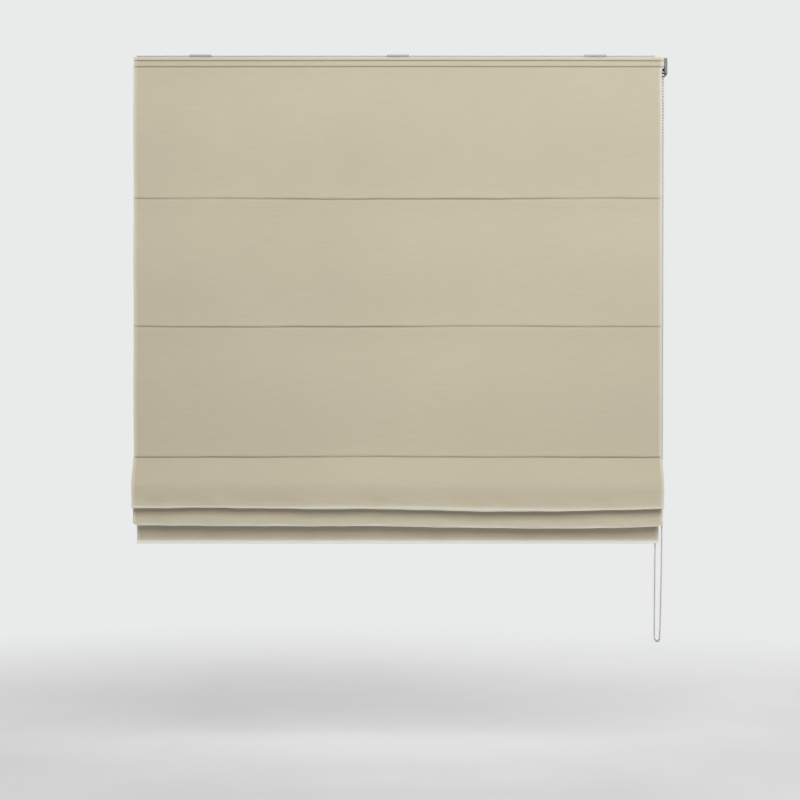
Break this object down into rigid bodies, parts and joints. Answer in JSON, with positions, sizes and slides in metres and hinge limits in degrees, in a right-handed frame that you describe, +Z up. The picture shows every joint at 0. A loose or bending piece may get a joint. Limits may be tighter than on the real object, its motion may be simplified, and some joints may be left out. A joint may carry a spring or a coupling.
{
  "type": "roman blind",
  "caption": "Lined roman blind on a chain-driven headrail, partly raised so that its lower folds are gathered above the hem.",
  "frame": {"origin": "middle of the middle ceiling bracket's top face, from which the blind hangs", "axes": "+X along the rail to the right as seen from the room, +Y away from the room to the window, +Z up"},
  "size_m": [1.078, 0.0701, 1.1917],
  "materials": {
    "cloth": "plain stone coloured weave",
    "lining": "ivory lining",
    "tape": "hook and loop tape",
    "rail": "white powder coat",
    "bracket_steel": "zinc plated",
    "white_plastic": "white",
    "grey_plastic": "grey",
    "spring_steel": "oiled spring wire",
    "mill_aluminium": "mill finish",
    "clear_plastic": "translucent white",
    "glass_fibre": "glass fibre rod",
    "cord": "braided polyester",
    "chain_metal": "nickel plated balls"
  },
  "bodies": {
    "root": {"bracket_left": "bracket_steel", "bracket_middle": "bracket_steel", "bracket_right": "bracket_steel", "brake_core": "grey_plastic", "brake_spring": "spring_steel", "chain": "chain_metal", "control_cover": "grey_plastic", "control_housing": "grey_plastic", "cradle_1": "white_plastic", "cradle_2": "white_plastic", "cradle_3": "white_plastic", "cradle_4": "white_plastic", "face_fabric": "cloth", "headrail": "rail", "hook_tape": "tape", "idle_end_cap": "white_plastic", "lift_cord_1": "cord", "lift_cord_2": "cord", "lift_cord_3": "cord", "lift_cord_4": "cord", "lining": "lining", "loop_tape": "tape"},
    "rod_1_stage": {"rod_1": "glass_fibre", "rod_tips_1": "clear_plastic", "cord_guides_1": "clear_plastic"},
    "rod_2_stage": {"rod_2": "glass_fibre", "rod_tips_2": "clear_plastic", "cord_guides_2": "clear_plastic"},
    "rod_3_stage": {"rod_3": "glass_fibre", "rod_tips_3": "clear_plastic", "cord_guides_3": "clear_plastic"},
    "rod_4_stage": {"rod_4": "glass_fibre", "rod_tips_4": "clear_plastic", "cord_guides_4": "clear_plastic"},
    "rod_5_stage": {"rod_5": "glass_fibre", "rod_tips_5": "clear_plastic", "cord_guides_5": "clear_plastic", "cord_stops": "clear_plastic", "bottom_bar": "mill_aluminium", "bottom_bar_caps": "clear_plastic"},
    "drive": {"drive_shaft": "mill_aluminium", "chain_wheel": "grey_plastic", "shaft_bush": "white_plastic", "spool_1": "white_plastic", "spool_2": "white_plastic", "spool_3": "white_plastic", "spool_4": "white_plastic"}
  },
  "joints": [
    {"name": "rod_1_lift", "type": "slide", "parent": "root", "child": "rod_1_stage", "axis": [0, 0, 1], "range_m": [0, 0.242], "deforming": ["face_fabric", "lining", "lift_cord_1", "lift_cord_2", "lift_cord_3", "lift_cord_4"]},
    {"name": "rod_2_lift", "type": "slide", "parent": "rod_1_stage", "child": "rod_2_stage", "axis": [0, 0, 1], "range_m": [0, 0.241], "deforming": ["face_fabric", "lining", "lift_cord_1", "lift_cord_2", "lift_cord_3", "lift_cord_4"]},
    {"name": "rod_3_lift", "type": "slide", "parent": "rod_2_stage", "child": "rod_3_stage", "axis": [0, 0, 1], "range_m": [0, 0.245], "deforming": ["face_fabric", "lining", "lift_cord_1", "lift_cord_2", "lift_cord_3", "lift_cord_4"]},
    {"name": "rod_4_lift", "type": "slide", "parent": "rod_3_stage", "child": "rod_4_stage", "axis": [0, 0, 1], "range_m": [-0.186, 0], "deforming": ["face_fabric", "lining", "lift_cord_1", "lift_cord_2", "lift_cord_3", "lift_cord_4"]},
    {"name": "rod_5_lift", "type": "slide", "parent": "rod_4_stage", "child": "rod_5_stage", "axis": [0, 0, 1], "range_m": [-0.208, 0], "deforming": ["face_fabric", "lining", "lift_cord_1", "lift_cord_2", "lift_cord_3", "lift_cord_4"]},
    {"name": "drive_turn", "type": "hinge", "parent": "root", "child": "drive", "pos_m": [0, 0.001, -0.023], "axis": [1, 0, 0], "range_deg": [-5040, 2730]}
  ],
  "couplings": [
    {"joint": "drive_turn", "follows": "rod_3_lift", "rad_per_m": -120.48}
  ]
}
